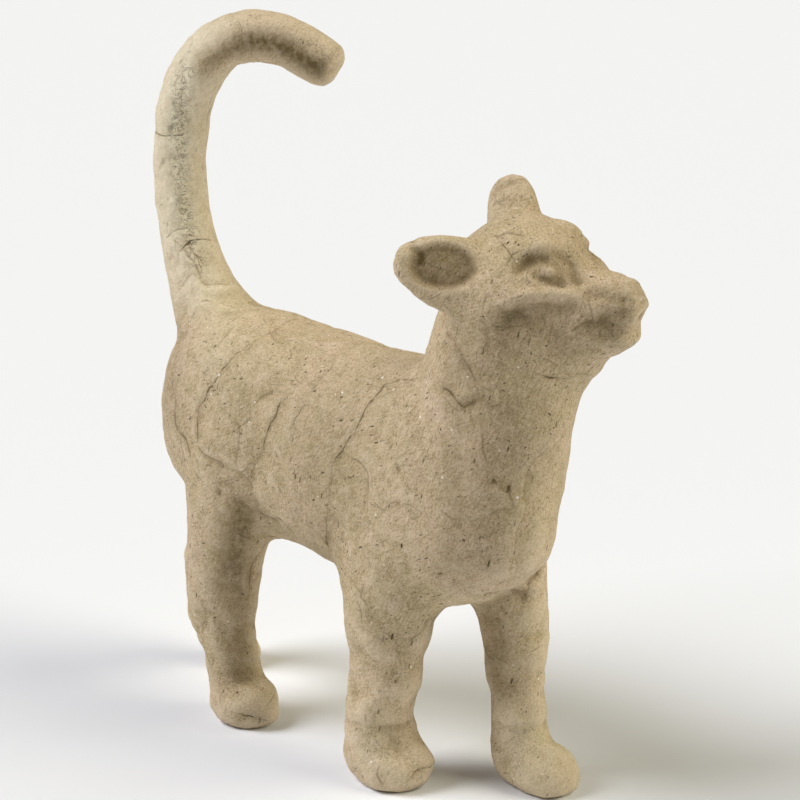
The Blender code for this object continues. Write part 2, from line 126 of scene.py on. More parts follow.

# Lines drawn in the skin: how deep the groove is, its half width, how far the paper on
# one side stands over the other, how dark it is, and the places that it passes. Beside the
# dark line lies painted shade, half as dark. A groove whose depth is below zero is a ridge.
LINES = {
    "rump seam": (
        0.10, 0.28, 0.13, 0.75,
        [(3.7, 19.8, 66.6), (-2.6, 18.5, 66.3), (-6.5, 19.7, 64.4), (-9.0, 21.6, 61.7),
         (-10.2, 23.1, 59.5), (-11.3, 25.0, 56.1), (-11.6, 26.4, 53.0), (-11.9, 26.5, 48.9)],
    ),
    "rear seam": (
        0.10, 0.28, 0.10, 0.60,
        [(-10.6, 33.4, 53.2), (-11.0, 32.6, 49.6), (-11.4, 30.2, 47.4), (-11.7, 28.2, 45.1)],
    ),
    "hip fold": (
        0.20, 0.45, -0.22, 0.55,
        [(-12.2, 25.5, 47.0), (-12.2, 21.4, 46.0), (-11.5, 17.4, 45.2), (-11.1, 15.0, 43.9),
         (-10.3, 14.3, 40.5), (-9.2, 13.8, 38.0), (-9.5, 9.4, 38.3), (-7.9, 7.6, 35.5)],
    ),
    "hip crack": (
        0.12, 0.60, 0.10, 0.35,
        [(-11.3, 17.3, 54.2), (-11.6, 17.3, 49.4), (-11.6, 17.7, 46.6)],
    ),
    "flank slit": (
        0.22, 0.35, 0.12, 0.80,
        [(-10.3, 9.0, 57.5), (-10.8, 9.6, 55.7), (-11.2, 10.7, 53.6), (-11.4, 12.3, 50.0),
         (-11.4, 13.9, 46.8), (-11.3, 14.9, 44.9)],
    ),
    "flank arc": (
        0.22, 0.80, 0.08, 0.25,
        [(-10.9, 15.0, 56.1), (-10.1, 12.8, 58.2), (-9.5, 9.6, 59.6)],
    ),
    "flank seam": (
        0.10, 0.28, 0.12, 0.70,
        [(-6.6, -10.0, 64.0), (-8.7, -8.9, 61.6), (-10.4, -8.2, 58.3), (-11.4, -6.3, 54.5),
         (-11.8, -4.5, 51.4), (-11.9, -3.9, 48.1), (-11.5, -2.7, 42.9), (-10.2, -1.5, 37.7)],
    ),
    "withers seam": (
        0.10, 0.28, 0.08, 0.50,
        [(-6.4, -9.7, 64.2), (-5.1, -12.7, 65.5), (-7.3, -20.5, 68.2)],
    ),
    "high tail seam": (
        0.10, 0.30, 0.14, 0.60,
        [(-2.8, 45.1, 93.5), (-2.6, 42.1, 93.6), (-1.4, 40.4, 93.7)],
    ),
    "low tail seam": (
        0.10, 0.30, 0.12, 0.50,
        [(-3.2, 42.8, 76.9), (-2.8, 41.5, 78.2), (-2.1, 40.3, 78.6)],
    ),
    "tail arc seam": (
        0.14, 0.35, 0.20, 0.80,
        [(-2.4, 39.8, 75.5), (-1.0, 39.0, 76.7), (2.6, 38.2, 76.2)],
    ),
    "tail split": (
        0.16, 0.35, 0.10, 0.70,
        [(-1.8, 39.3, 76.3), (-1.2, 38.1, 74.4), (-1.2, 37.0, 72.6)],
    ),
    "tail root crease": (
        0.26, 0.60, 0.20, 0.40,
        [(-3.8, 38.9, 69.7), (-2.6, 37.4, 71.5), (-1.4, 35.3, 70.3), (1.4, 33.9, 69.9)],
    ),
    "chest crack": (
        0.55, 0.50, -0.35, 0.95,
        [(9.6, -28.1, 35.9), (7.0, -28.2, 34.0), (6.5, -27.7, 31.6)],
    ),
    "brisket crease": (
        0.40, 0.55, -0.20, 0.70,
        [(-2.1, -28.1, 34.5), (0.7, -28.9, 34.4), (6.0, -27.8, 32.3)],
    ),
    "chest seam": (
        0.10, 0.40, 0.24, 0.45,
        [(-0.4, -36.8, 58.5), (-2.3, -35.6, 55.8), (-2.0, -35.0, 50.5), (-3.1, -34.1, 45.7),
         (-3.1, -33.0, 40.2)],
    ),
    "elbow crease": (
        0.18, 0.60, 0.20, 0.35,
        [(-11.5, -9.8, 22.6), (-11.8, -12.4, 25.9), (-11.2, -14.6, 27.2), (-10.3, -15.7, 26.1),
         (-9.2, -16.1, 23.8)],
    ),
    "right wrist crease": (
        0.12, 0.90, -0.30, 0.15,
        [(-11.2, -7.2, 10.1), (-10.3, -12.2, 11.2), (-5.6, -14.1, 10.7)],
    ),
    "right paw fold": (
        0.30, 0.45, -0.30, 0.70,
        [(-9.1, -16.5, 2.0), (-6.9, -17.6, 3.7), (-4.1, -17.2, 3.8)],
    ),
    "left paw slit": (
        0.35, 0.35, 0.10, 0.95,
        [(4.2, -27.9, 3.6), (4.9, -27.0, 1.0)],
    ),
    "left wrist crease": (
        0.12, 0.90, -0.25, 0.12,
        [(4.5, -23.7, 10.5), (5.7, -27.4, 10.6), (10.4, -28.3, 10.4)],
    ),
    "thigh seam": (
        0.15, 0.35, 0.18, 0.60,
        [(-5.1, 19.4, 30.4), (-6.1, 20.4, 27.0), (-6.2, 21.0, 22.9)],
    ),
    "hind paw fold": (
        0.35, 0.45, -0.25, 0.80,
        [(-10.2, 18.6, 2.9), (-8.5, 17.0, 2.8), (-6.9, 17.2, 2.2)],
    ),
    "neck rope": (
        -0.32, 0.90, 0.0, 0.0,
        [(-7.0, -23.4, 75.2), (-7.6, -25.3, 73.4), (-8.0, -27.0, 71.6), (-8.0, -28.3, 69.6)],
    ),
    "neck rope shade": (
        0.22, 0.55, 0.10, 0.45,
        [(-6.6, -24.6, 75.2), (-7.2, -26.5, 73.4), (-7.6, -28.3, 71.6), (-7.6, -29.6, 69.6)],
    ),
    "neck fold": (
        -0.40, 0.95, 0.0, 0.0,
        [(-8.2, -28.1, 66.9), (-7.8, -29.9, 68.3), (-7.3, -31.4, 68.5), (-6.7, -32.8, 67.5)],
    ),
    "neck fold shade": (
        0.28, 0.60, 0.0, 0.45,
        [(-8.2, -28.6, 65.6), (-7.8, -30.2, 66.9), (-7.3, -31.5, 67.1), (-6.9, -32.6, 66.2)],
    ),
    "neck line": (
        0.28, 0.50, 0.20, 0.65,
        [(-8.3, -24.1, 67.5), (-8.5, -26.1, 66.5), (-8.3, -28.0, 65.4)],
    ),
    "throat crack": (
        0.15, 0.25, 0.10, 0.90,
        [(-1.9, -38.3, 71.1), (-0.4, -39.1, 70.6), (1.0, -39.9, 70.5)],
    ),
}

# Soft hollows with painted shade along them: depth, half width, how dark the painted shade is,
# and the places. Below zero, the depth is a swelling and the darkness painted light, a paler place.
STREAKS = {
    "tail": (
        0.0, 7.0, -1.40,
        [(-2.0, 38.0, 108.0), (-2.4, 41.5, 100.0), (-2.6, 42.8, 92.0), (-2.4, 42.8, 84.0),
         (-1.8, 40.5, 76.0), (-1.4, 37.6, 71.0)],
    ),
    "tail arch": (
        0.35, 1.9, 1.80,
        [(-0.1, 36.2, 105.3), (1.1, 32.8, 107.7), (1.9, 30.2, 109.2), (2.7, 27.6, 109.9),
         (3.7, 25.2, 109.9), (4.6, 22.8, 109.2), (5.5, 20.4, 108.0), (6.5, 18.1, 106.9)],
    ),
    "tail column": (
        0.0, 2.2, -0.80,
        [(-1.5, 39.2, 104.0), (-1.8, 40.2, 100.3), (-2.0, 40.8, 96.2), (-1.9, 41.1, 91.2),
         (-1.6, 41.1, 86.3), (-1.5, 40.5, 82.3), (-1.3, 39.3, 77.5)],
    ),
    "front of the right thigh": (
        0.25, 2.6, 0.85,
        [(-10.0, 17.6, 38.8), (-9.4, 20.4, 31.0), (-8.3, 21.0, 25.5), (-7.4, 21.4, 19.0),
         (-7.6, 21.8, 12.6), (-8.0, 21.2, 9.5)],
    ),
    "throat": (
        0.0, 5.0, 0.46,
        [(-6.4, -33.6, 75.7), (-7.0, -32.3, 69.5), (-5.7, -34.1, 64.4), (-5.7, -33.2, 58.1),
         (-6.3, -31.9, 50.2), (-7.0, -30.6, 42.2)],
    ),
    "edge of the shoulder": (
        0.0, 2.8, 0.46,
        [(-8.0, -26.0, 72.5), (-8.4, -25.5, 68.0), (-8.6, -26.9, 63.4), (-9.1, -26.4, 55.7),
         (-9.3, -26.7, 48.0), (-8.8, -25.5, 40.0)],
    ),
    "cheek": (
        0.35, 2.2, 0.55,
        [(-6.6, -33.8, 77.5), (-4.9, -36.1, 79.3), (-2.8, -39.0, 78.3), (-0.7, -40.0, 75.9)],
    ),
    "muzzle's underside": (
        0.25, 1.4, 0.60,
        [(2.7, -44.5, 79.5), (3.8, -45.8, 78.9), (4.5, -47.0, 79.6)],
    ),
    "muzzle": (
        0.0, 2.5, 0.32,
        [(3.8, -45.7, 82.8), (6.0, -46.0, 84.0), (9.6, -46.1, 82.9)],
    ),
    "left brow": (
        -0.90, 1.2, 0.0,
        [(8.4, -34.6, 89.8), (8.3, -35.4, 89.4)],
    ),
    "under the left brow": (
        0.55, 0.9, 0.0,
        [(9.6, -36.6, 88.8), (9.9, -37.2, 88.0)],
    ),
    "hind paw": (
        0.0, 4.0, 0.25,
        [(-10.0, 20.0, 8.0), (-9.0, 18.5, 3.0)],
    ),
    "right paw": (
        0.0, 4.0, -0.40,
        [(-11.0, -11.0, 8.0), (-8.0, -15.5, 6.0)],
    ),
    "left paw": (
        0.0, 4.0, -0.75,
        [(6.0, -26.0, 8.0), (9.0, -29.0, 6.0)],
    ),
    "back of the rump": (
        0.0, 5.0, 0.55,
        [(-5.0, 36.0, 62.0), (-8.5, 34.5, 52.0)],
    ),
    "flank": (
        0.0, 7.0, 0.50,
        [(-11.8, -3.0, 53.0), (-11.6, -1.0, 48.0), (-11.0, 0.0, 37.0)],
    ),
    "top of the right thigh": (
        0.0, 3.4, 0.45,
        [(-10.0, 17.6, 38.8), (-9.6, 21.0, 31.0), (-9.4, 22.4, 26.0)],
    ),
    "left ear": (
        0.0, 2.5, -0.40,
        [(5.0, -21.5, 92.5), (4.6, -22.5, 89.0)],
    ),
    "outside of the left foreleg": (
        0.0, 2.0, -0.40,
        [(9.5, -25.5, 30.0), (9.5, -25.5, 16.0)],
    ),
    "rump": (
        0.0, 6.0, -0.25,
        [(-9.0, 24.0, 62.0), (-5.0, 32.0, 66.0)],
    ),
    "ear rim": (
        0.20, 0.6, 0.90,
        [(-12.8, -22.2, 89.1), (-12.4, -23.0, 88.6), (-12.2, -23.6, 87.8), (-12.6, -23.4, 86.9)],
    ),
    "left ear's tip": (
        0.25, 0.8, 0.70,
        [(5.5, -21.0, 93.3), (5.8, -21.7, 94.6), (6.0, -22.9, 95.4), (6.3, -24.0, 95.8)],
    ),
    "chin": (
        0.0, 1.8, 0.25,
        [(2.5, -42.9, 75.0), (3.1, -44.2, 77.4), (5.0, -46.4, 76.0)],
    ),
    "inside of the left foreleg": (
        0.0, 3.0, 0.85,
        [(3.9, -24.5, 30.0), (3.7, -23.3, 27.5), (4.3, -23.7, 20.9), (4.6, -24.8, 16.2)],
    ),
}

# Crumpled skin along a line: how strong, half width, and the places.
CRUMPLES = {
    "tail column": (
        1.3, 1.5,
        [(-1.5, 39.2, 104.0), (-1.8, 40.2, 100.3), (-2.0, 40.8, 96.2), (-1.9, 41.1, 91.2),
         (-1.6, 41.1, 86.3), (-1.5, 40.5, 82.3), (-1.3, 39.3, 77.5), (-1.4, 37.6, 73.4)],
    ),
    "tail end": (
        0.7, 2.0,
        [(6.6, 19.5, 110.2), (7.6, 17.6, 108.6), (8.4, 16.5, 106.7)],
    ),
    "brisket": (
        0.6, 2.0,
        [(-8.3, -23.7, 37.5), (-2.1, -28.1, 35.5), (6.0, -27.8, 33.5)],
    ),
    "throat": (
        0.6, 4.0,
        [(-6.6, -33.8, 77.0), (-7.0, -32.3, 69.5), (-5.7, -34.1, 64.4), (-5.7, -33.2, 58.1),
         (-6.3, -31.9, 50.2), (-7.0, -30.6, 42.2)],
    ),
    "cheek": (
        0.6, 2.5,
        [(-6.6, -33.8, 78.0), (-4.9, -36.1, 79.3), (-2.8, -39.0, 78.3), (5.0, -46.4, 77.0)],
    ),
    "right elbow": (
        0.7, 2.0,
        [(-11.6, -12.4, 31.0), (-9.2, -16.1, 24.0), (-9.0, -15.5, 18.0)],
    ),
    "right paw": (
        0.6, 2.5,
        [(-11.2, -10.2, 9.0), (-9.0, -15.0, 6.0), (-6.0, -17.0, 3.0)],
    ),
    "left paw": (
        0.5, 2.5,
        [(5.0, -25.5, 8.0), (7.0, -29.0, 4.0)],
    ),
    "right hock": (
        0.5, 2.5,
        [(-12.0, 27.4, 32.8), (-11.0, 26.0, 20.0), (-9.5, 24.0, 8.0)],
    ),
    "rump": (
        0.5, 3.0,
        [(-11.3, 17.3, 56.2), (-11.6, 15.3, 49.4), (-11.6, 20.7, 45.6), (-10.0, 17.0, 40.0)],
    ),
}

# Pits and slits: where each one is, its half width, its half height, and its depth.
PITS = [
    ((-12.1, 21.5, 40.9), 0.16, 0.56, 0.30),
    ((-11.1, -17.7, 54.3), 0.16, 0.71, 0.35),
    ((-11.7, -14.9, 45.3), 0.16, 0.30, 0.20),
    ((-11.9, -7.2, 48.5), 0.16, 0.22, 0.25),
    ((-11.9, -6.5, 45.9), 0.16, 0.38, 0.25),
    ((-11.8, 0.0, 48.4), 0.16, 0.21, 0.25),
    ((-6.2, 12.9, 64.1), 0.19, 0.19, 0.25),
    ((-5.7, 7.9, 64.3), 0.28, 0.18, 0.20),
    ((-10.6, 16.0, 57.4), 0.22, 0.19, 0.20),
    ((-4.5, -33.9, 53.6), 0.28, 0.34, 0.45),
    ((-5.1, -33.5, 54.4), 0.16, 0.19, 0.30),
    ((-6.1, -32.4, 54.7), 0.19, 0.18, 0.25),
    ((-7.8, -23.9, 36.6), 0.22, 0.19, 0.35),
    ((-11.6, 26.9, 24.8), 0.16, 0.34, 0.25),
    ((-10.2, 24.6, 16.5), 0.22, 0.26, 0.45),
    ((-12.0, 27.4, 32.8), 0.16, 0.22, 0.20),
    ((-8.1, 16.9, 1.9), 0.25, 0.34, 0.45),
]

# Lines in each side of the face: groove depth, half width, how dark the line is and how dark
# the painted shade round it is (below zero, painted light), whether both sides have it, and
# places as forward, out from the middle and up, in shares of the head's length.
FACE_LINES = {
    "brow fold": (
        0.38, 0.85, 0.0, 0.34, False,
        [(0.150, 0.215, 0.205), (0.180, 0.180, 0.240), (0.240, 0.140, 0.250),
         (0.285, 0.090, 0.222), (0.318, 0.070, 0.175), (0.345, 0.090, 0.120)],
    ),
    "rim of the eye": (
        0.14, 0.65, 0.0, 0.26, True,
        [(0.262, 0.214, 0.150), (0.225, 0.222, 0.194), (0.246, 0.175, 0.236), (0.282, 0.128, 0.230),
         (0.314, 0.118, 0.186), (0.308, 0.160, 0.144), (0.262, 0.214, 0.148)],
    ),
    "lower lid": (
        0.08, 0.55, 0.0, 0.08, True,
        [(0.190, 0.250, 0.158), (0.242, 0.222, 0.138), (0.294, 0.176, 0.130), (0.324, 0.123, 0.130)],
    ),
    "cheek roll": (
        -0.22, 0.90, 0.0, -0.02, True,
        [(0.080, 0.300, 0.095), (0.150, 0.290, 0.118), (0.210, 0.262, 0.120), (0.268, 0.222, 0.110),
         (0.325, 0.186, 0.088), (0.375, 0.150, 0.062)],
    ),
    "under the roll": (
        0.32, 1.10, 0.0, 0.60, True,
        [(0.105, 0.305, 0.030), (0.155, 0.285, 0.052), (0.215, 0.258, 0.060), (0.272, 0.222, 0.052),
         (0.330, 0.180, 0.028)],
    ),
    "temple mark": (
        0.14, 0.34, 0.55, 0.25, False,
        [(0.057, 0.166, 0.312), (0.100, 0.186, 0.290), (0.137, 0.208, 0.242)],
    ),
    "temple branch": (
        0.10, 0.32, 0.45, 0.20, False,
        [(0.148, 0.180, 0.285), (0.125, 0.192, 0.270), (0.100, 0.214, 0.235)],
    ),
    "side of the nose": (
        0.32, 0.75, 0.0, 0.35, True,
        [(0.415, 0.120, 0.070), (0.499, 0.097, 0.028), (0.545, 0.080, 0.012)],
    ),
    "mouth": (
        0.36, 0.80, 0.10, 0.55, True,
        [(0.385, 0.150, -0.075), (0.402, 0.146, -0.061), (0.453, 0.128, -0.045),
         (0.503, 0.102, -0.038), (0.550, 0.082, -0.035)],
    ),
    "jaw line": (
        0.12, 0.90, 0.0, 0.10, True,
        [(0.004, 0.320, -0.106), (0.129, 0.294, -0.134), (0.241, 0.225, -0.170), (0.322, 0.171, -0.178)],
    ),
}

# Hollows and swellings of the head, also in shares: the middle, the half lengths along and
# across, the depth in millimetres, how crisp the rim is, how dark its painted shade is (below
# zero, painted light), and whether both sides have it.
FACE_OVALS = {
    "right ear cup": (
        (-0.160, 0.308, 0.262), (-0.138, 0.083, 0.030), (0.006, -0.034, 0.108), 1.00, 0.55, 1.10, False,
    ),
    "eye socket": (
        (0.262, 0.180, 0.195), (0.105, -0.077, -0.024), (0.012, -0.042, 0.060), 0.80, 1.0, 0.50, True,
    ),
    "eye": (
        (0.270, 0.190, 0.200), (0.046, -0.033, 0.0), (0.006, -0.012, 0.044), -0.38, 1.0, -0.25, True,
    ),
    "lip hollow": (
        (0.462, 0.120, -0.105), (0.095, -0.047, 0.0), (0.0, 0.0, 0.062), 0.28, 1.0, 0.30, True,
    ),
    "nose pad": (
        (0.572, 0.0, 0.075), (0.075, 0.0, 0.0), (0.0, 0.110, 0.0), -0.65, 1.0, -0.05, False,
    ),
    "nose front": (
        (0.600, 0.0, -0.026), (0.0, 0.110, 0.0), (0.0, 0.0, 0.052), -0.12, 1.0, 0.0, False,
    ),
    "muzzle front": (
        (0.610, 0.0, -0.125), (0.0, 0.130, 0.0), (0.0, 0.0, 0.078), 1.20, 1.0, 0.10, False,
    ),
}

# The head's right side at full depth, and its left side, away from the photograph, at a share.
SIDES = ((-1, 1.0), (1, 0.5))
LATTICE = 32  # heights along each edge of the noise's lattice, which then repeats


def smooth_step(low, high, values):
    """0 below low, 1 above high, and 3t*t - 2t*t*t between them, for t the share of the way."""
    share = np.clip((values - low) / (high - low), 0.0, 1.0)
    return share * share * (3.0 - 2.0 * share)


def noise(points, wavelength, seed):
    """Smooth noise between -1 and 1.

    Random heights sit on a cubic lattice a wavelength apart. Each point takes the eight
    heights around it, in shares that fade from corner to corner as 3t*t - 2t*t*t.
    """
    heights = np.random.RandomState(seed).uniform(-1.0, 1.0, (LATTICE, LATTICE, LATTICE))
    places = points / wavelength + 10 * LATTICE
    cells = np.floor(places).astype(int)
    fade = places - cells
    fade = fade * fade * (3.0 - 2.0 * fade)
    total = np.zeros(len(points))
    for corner in np.ndindex(2, 2, 2):
        shares = np.prod(np.where(corner, fade, 1.0 - fade), axis=1)
        x, y, z = ((cells + corner) % LATTICE).T
        total += shares * heights[x, y, z]
    return total


def read_points(mesh):
    """The mesh's points in millimetres, as rows of x, y and z."""
    flat = np.empty(len(mesh.vertices) * 3)
    mesh.vertices.foreach_get("co", flat)
    return flat.reshape(-1, 3) / MM


def read_normals(mesh):
    """The outward direction at each point of the mesh."""
    flat = np.empty(len(mesh.vertices) * 3)
    mesh.vertex_normals.foreach_get("vector", flat)
    return flat.reshape(-1, 3)


def write_points(mesh, points):
    """Puts points in millimetres back into the mesh."""
    mesh.vertices.foreach_set("co", (points * MM).ravel())
    mesh.update()


def neighbour_average(values, edges):
    """The mean of each point's neighbours: sums over both ends of every edge, over their number."""
    ends, others = np.concatenate([edges, edges[:, ::-1]]).T
    count = np.bincount(ends, minlength=len(values))
    columns = [np.bincount(ends, weights=column[others], minlength=len(values)) for column in values.T]
    return np.stack(columns, axis=1) / count[:, None]


def round_off(points, edges, rounds):
    """Takes the facets off without shrinking the form.

    Every round moves each point half way to its neighbours' mean, then slightly further
    back the other way.
    """
    for _ in range(rounds):
        for share in (0.50, -0.53):
            points = points + share * (neighbour_average(points, edges) - points)
    return points


def bare_form():
    """An even mesh of the CAD cat: its copy, merged and remeshed, with finer faces on the head."""
    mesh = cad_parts["cat"].data.copy()
    form = bmesh.new()
    form.from_mesh(mesh)
    bmesh.ops.remove_doubles(form, verts=form.verts, dist=0.001 * MM)
    form.to_mesh(mesh)
    form.free()
    mesh.materials.clear()
    piece = bpy.data.objects.new("papier_mache_cat", mesh)
    bpy.context.scene.collection.objects.link(piece)
    even = piece.modifiers.new("even", "REMESH")
    even.mode = "VOXEL"
    even.voxel_size = SKIN_SPACING * MM
    finished = bpy.data.meshes.new_from_object(
        piece.evaluated_get(bpy.context.evaluated_depsgraph_get())
    )
    piece.modifiers.clear()
    form = bmesh.new()
    form.from_mesh(finished)
    middle = Vector(HEAD_MIDDLE) * MM
    fine = [edge for edge in form.edges if (edge.verts[0].co - middle).length < HEAD_REACH * MM]
    bmesh.ops.subdivide_edges(form, edges=fine, cuts=1, use_grid_fill=True)
    form.to_mesh(finished)
    form.free()
    piece.data = finished
    return piece


def curve_through(rows, steps=8):
    """A smooth Catmull-Rom curve through the rows, with that many points to a span."""
    knots = np.array(rows, float)
    padded = np.vstack([2 * knots[0] - knots[1], knots, 2 * knots[-1] - knots[-2]])
    share = np.linspace(0, 1, steps, endpoint=False)[:, None]
    spans = []
    for before, start, end, after in zip(padded, padded[1:], padded[2:], padded[3:]):
        bend = 2 * before - 5 * start + 4 * end - after
        twist = 3 * start - before - 3 * end + after
        spans.append(start + 0.5 * share * (end - before + share * (bend + share * twist)))
    return np.vstack(spans + [knots[-1:]])


def across_line(points, normals, rows, reach):
    """The points near a drawn line, and how far each one is from it.

    The line is first drawn to the skin: each of its points moves to the mean of the skin
    points near it, weighted as exp(-distance squared). The distance is then to the nearest
    stretch of line, above zero on one side of it and below zero on the other.
    """
    line = curve_through(rows)
    low, high = line.min(axis=0) - reach, line.max(axis=0) + reach
    near = np.flatnonzero(((points > low) & (points < high)).all(axis=1))
    skin = points[near]
    for _ in range(2):
        squares = ((line[:, None] - skin[None]) ** 2).sum(axis=2)
        shares = np.exp(squares.min(axis=1)[:, None] - squares)
        line = shares @ skin / shares.sum(axis=1)[:, None]
    spans = np.diff(line, axis=0)
    offsets = skin[:, None] - line[None, :-1]
    along = np.clip((offsets * spans).sum(axis=2) / (spans**2).sum(axis=1), 0.0, 1.0)
    misses = offsets - along[:, :, None] * spans
    gaps = np.linalg.norm(misses, axis=2)
    closest = gaps.argmin(axis=1)
    every = np.arange(len(near))
    side = (np.cross(spans[closest], normals[near]) * misses[every, closest]).sum(axis=1)
    return near, np.where(side < 0, -1.0, 1.0) * gaps[every, closest]


def on_head(forward, out, up, side):
    """A place on the head in millimetres: out is away from the middle, on side -1 or 1."""
    turned = (
        Matrix.Rotation(math.radians(HEAD_TURN), 3, "Z")
        @ Matrix.Rotation(math.radians(-HEAD_LIFT), 3, "X")
        @ Matrix.Rotation(math.radians(-HEAD_TILT), 3, "Y")
    )
    local = Vector((side * out, -forward, up)) * HEAD_LENGTH
    return np.array(Vector(HEAD_MIDDLE) + turned @ local)


def in_oval(points, normals, middle, along, across):
    """How far in each point is: 1 in the middle of the oval, 0 on its rim and outside.

    The share is 1 - (a*a + b*b), where a and b are the distances along and across, over the
    oval's half lengths. Points that face away from the oval, or lie far under it, get 0.
    """
    offsets = points - middle
    out = np.cross(along, across)
    out /= np.linalg.norm(out)
    out *= np.sign((normals[((offsets**2).sum(axis=1)).argmin()] * out).sum())
    spread = (offsets @ along / (along @ along)) ** 2 + (offsets @ across / (across @ across)) ** 2
    facing = smooth_step(0.1, 0.6, normals @ out)
    near = np.abs(offsets @ out) < 1.2 * max(np.linalg.norm(along), np.linalg.norm(across))
    return np.clip(1.0 - spread, 0.0, 1.0) * facing * near


def paper_patches(points, normals):
    """Pieces of torn paper: each point's distance from the torn edge, and a tone for its piece.

    Seeds are strewn over the skin, and each point belongs to the nearest one, measured
    after the point is shifted by noise so that the edges wander. The distance from the
    edge is half the difference between the nearest two distances, over how fast that
    changes along the skin. It is above zero on the piece that lies over the other.
    """
    random = np.random.RandomState(11)
    wander = np.stack([noise(points, 6.0, 20 + axis) for axis in range(3)], axis=1)
    tear = np.stack([noise(points, 1.8, 30 + axis) for axis in range(3)], axis=1)
    placed = points + 2.4 * wander + 0.5 * tear
    seeds = placed[random.choice(len(points), PAPER_PATCHES, replace=False)]
    tones = random.uniform(0.0, 1.0, PAPER_PATCHES)
    squares = (placed**2).sum(1)[:, None] + (seeds**2).sum(1)[None] - 2 * placed @ seeds.T
    distances = np.sqrt(np.maximum(squares, 0.0))
    order = np.argpartition(distances, 1, axis=1)[:, :2]
    pair = np.take_along_axis(distances, order, axis=1)
    nearest = np.take_along_axis(order, pair.argmin(1)[:, None], axis=1)[:, 0]
    second = np.take_along_axis(order, pair.argmax(1)[:, None], axis=1)[:, 0]
    pulls = [
        (placed - seeds[chosen]) / np.maximum(distance, 0.001)[:, None]
        for chosen, distance in ((nearest, pair.min(1)), (second, pair.max(1)))
    ]
    pull = pulls[0] - pulls[1]
    pull -= (pull * normals).sum(axis=1)[:, None] * normals
    steepness = np.maximum(0.5 * np.linalg.norm(pull, axis=1), 0.15)
    edge = 0.5 * np.abs(pair[:, 0] - pair[:, 1]) / steepness
    edge *= np.where(nearest > second, 1.0, -1.0)
    return edge, tones[nearest]


class Relief:
    """What the hand does to the skin: heights to raise, what each line and hollow leaves, and the
    painted light and shade along them.
    """

    def __init__(self, points, normals):
        self.points = points
        self.normals = normals
        self.height = np.zeros(len(points))
        # Painted shade above zero and painted light below zero, from every line, streak, oval and pit.
        self.painted_light_and_shade = np.zeros(len(points))
        self.line_gap = np.full(len(points), FAR_FROM_LINES)
        self.line_dark = np.zeros(len(points))
        self.crumpled = np.zeros(len(points))
        shakes = [noise(points, 1.7, 50 + axis) + noise(points, 4.0, 60 + axis) for axis in range(3)]
        self.shaken = points + WAVER * np.stack(shakes, axis=1)
        self.pressure = 0.35 + 0.65 * smooth_step(-0.35, 0.30, noise(points, 3.1, 70))

    def draw_line(self, rows, depth, half_width, step, dark, shade, steady=False):
        """A groove of depth*exp(-(gap/width)^2), with one bank a step above the other, and painted shade
        by it.

        The step is tanh of the gap and fades away from the line. The points are shaken a
        little before they are measured, so that the line wavers, and the pressure varies
        along it unless the line is a steady one.
        """
        near, gap = across_line(self.shaken, self.normals, rows, LINE_REACH)
        away = np.abs(gap)
        pressure = np.ones(len(near)) if steady else self.pressure[near]
        groove = depth * pressure * np.exp(-((gap / half_width) ** 2))
        bank = 0.5 * step * np.tanh(gap / STEP_EDGE) * smooth_step(STEP_FADE, STEP_EDGE, away)
        self.height[near] += bank - groove
        self.painted_light_and_shade[near] += shade * pressure * np.exp(-((gap / (SHADE_SPREAD * half_width)) ** 2))
        if dark > 0:
            closer = away < np.abs(self.line_gap[near])
            self.line_gap[near[closer]] = gap[closer]
            self.line_dark[near[closer]] = dark * pressure[closer]

    def press_streak(self, rows, depth, half_width, dark):
        """A soft trough of depth*exp(-(gap/width)^2), with painted shade (painted light below zero) the
        same way.
        """
        near, gap = across_line(self.shaken, self.normals, rows, STREAK_REACH * half_width)
        share = np.exp(-((gap / half_width) ** 2))
        self.height[near] -= depth * share
        self.painted_light_and_shade[near] += dark * share

    def crumple(self, rows, strength, half_width):
        """Little folds where noise passes through zero, fading as exp(-(gap/width)^2)."""
        near, gap = across_line(self.shaken, self.normals, rows, STREAK_REACH * half_width)
        squeezed = self.points[near] * (0.8, 0.8, 1.3)
        folds = np.clip(1.0 - 3.0 * np.abs(noise(squeezed, CRUMPLE_SIZE, 80)), 0.0, 1.0)
        share = strength * np.exp(-((gap / half_width) ** 2))
        self.height[near] -= CRUMPLE_DEPTH * folds * share
        self.crumpled[near] = np.maximum(self.crumpled[near], share)

    def press_oval(self, middle, along, across, depth, crisp, dark):
        """A dish of depth*s with painted shade of dark*s, where s rises from 0 at the rim to 1 over the
        share crisp.
        """
        inside = smooth_step(0.0, crisp, in_oval(self.points, self.normals, middle, along, across))
        self.height -= depth * inside
        self.painted_light_and_shade += dark * inside

    def press_pit(self, middle, half_width, half_height, depth):
        """A pit of depth*exp(-r^4), r the distance over the half sizes, taller along z, with painted
        shade in it.
        """
        offsets = (self.points - middle) / (half_width, half_width, half_height)
        share = np.exp(-(((offsets**2).sum(axis=1)) ** 2))
        self.height -= depth * share
        self.painted_light_and_shade += PIT_SHADE * share


